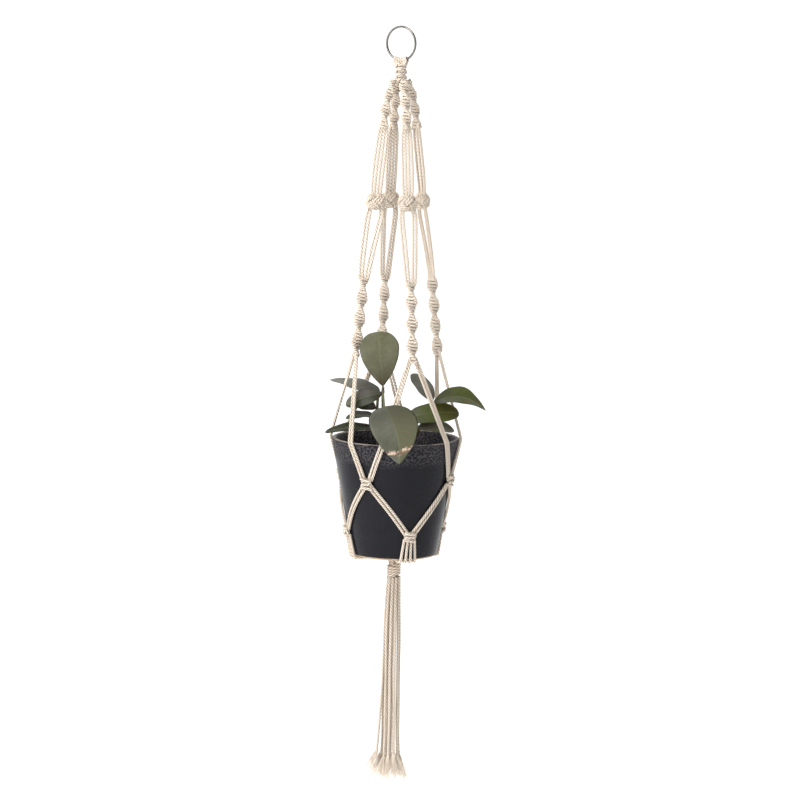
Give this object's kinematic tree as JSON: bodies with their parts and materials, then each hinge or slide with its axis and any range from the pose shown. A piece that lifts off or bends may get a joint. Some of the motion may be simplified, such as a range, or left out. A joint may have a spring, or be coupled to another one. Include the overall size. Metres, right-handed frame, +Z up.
{
  "type": "hanging macrame planter",
  "caption": "Knotted cotton cord plant hanger on a steel ring, cradling a tapered glazed pot with soil and a leafy plant, ending in a wrapped tassel.",
  "frame": {"origin": "point inside the top of the hanging ring where a hook carries it", "axes": "+Z up along the hanging line, -Y towards the front, +X to the right seen from the front"},
  "size_m": [0.2223, 0.1993, 1.0491],
  "materials": {
    "ring_steel": "satin, plated",
    "cotton_cord": "soft three-strand cotton, natural cream",
    "pot_glaze": "semi-gloss dark glaze, rough speckled band under the rim",
    "soil": "dark potting soil, matte",
    "stem": "purple-brown fleshy stems, matte",
    "leaf": "fleshy leaves, satin"
  },
  "bodies": {
    "ring": {"hanging_ring": "ring_steel"},
    "loops": {"ring_loops": "cotton_cord"},
    "hanger": {"top_knot": "cotton_cord", "upper_spiral_right": "cotton_cord", "upper_spiral_back": "cotton_cord", "upper_spiral_left": "cotton_cord", "upper_spiral_front": "cotton_cord", "upper_cords": "cotton_cord", "crown_knot_right": "cotton_cord", "crown_knot_back": "cotton_cord", "crown_knot_left": "cotton_cord", "crown_knot_front": "cotton_cord", "middle_cords": "cotton_cord", "lower_spiral_right": "cotton_cord", "lower_spiral_back": "cotton_cord", "lower_spiral_left": "cotton_cord", "lower_spiral_front": "cotton_cord", "rim_cords": "cotton_cord", "side_knot_back_right": "cotton_cord", "side_knot_back_left": "cotton_cord", "side_knot_front_left": "cotton_cord", "side_knot_front_right": "cotton_cord", "net_cords": "cotton_cord", "base_knot_right": "cotton_cord", "base_knot_back": "cotton_cord", "base_knot_left": "cotton_cord", "base_knot_front": "cotton_cord", "base_cords": "cotton_cord"},
    "pot": {"pot": "pot_glaze", "soil": "soil", "stem": "stem", "leaf_arching": "leaf", "leaf_front": "leaf", "leaf_left_back": "leaf", "leaf_left_dark": "leaf", "leaf_left_low": "leaf", "leaf_left_mid": "leaf", "leaf_right_back": "leaf", "leaf_right_broad": "leaf", "leaf_right_low": "leaf", "leaf_rim": "leaf", "leaf_upright": "leaf"},
    "gather": {"cord_gather": "cotton_cord"},
    "tassel": {"gathering_wrap": "cotton_cord", "tassel_strand_01": "cotton_cord", "tassel_strand_02": "cotton_cord", "tassel_strand_03": "cotton_cord", "tassel_strand_04": "cotton_cord", "tassel_strand_05": "cotton_cord", "tassel_strand_06": "cotton_cord", "tassel_strand_07": "cotton_cord", "tassel_strand_08": "cotton_cord", "tassel_strand_09": "cotton_cord", "tassel_strand_10": "cotton_cord", "tassel_strand_11": "cotton_cord", "tassel_strand_12": "cotton_cord", "tassel_strand_13": "cotton_cord", "tassel_strand_14": "cotton_cord", "tassel_strand_15": "cotton_cord", "tassel_strand_16": "cotton_cord"}
  },
  "joints": [
    {"name": "ring_slide", "type": "hinge", "parent": "ring", "child": "loops", "pos_m": [0, 0, -0.0215], "axis": [0.5299, 0.848, 0], "range_deg": [-150, 150]},
    {"name": "hanger_tilt", "type": "hinge", "parent": "loops", "child": "hanger", "pos_m": [0, 0, -0.0445], "axis": [0.848, -0.5299, 0], "range_deg": [-90, 90]},
    {"name": "pot_turn", "type": "hinge", "parent": "hanger", "child": "pot", "pos_m": [0, 0, -0.65], "axis": [0, 0, 1], "range_deg": [-5, 5]},
    {"name": "gather_swing", "type": "hinge", "parent": "hanger", "child": "gather", "pos_m": [0, 0, -0.734], "axis": [1, 0, 0], "range_deg": [-25, 25]},
    {"name": "tassel_swing", "type": "hinge", "parent": "gather", "child": "tassel", "pos_m": [0, 0, -0.734], "axis": [0, 1, 0], "range_deg": [-25, 25]}
  ]
}
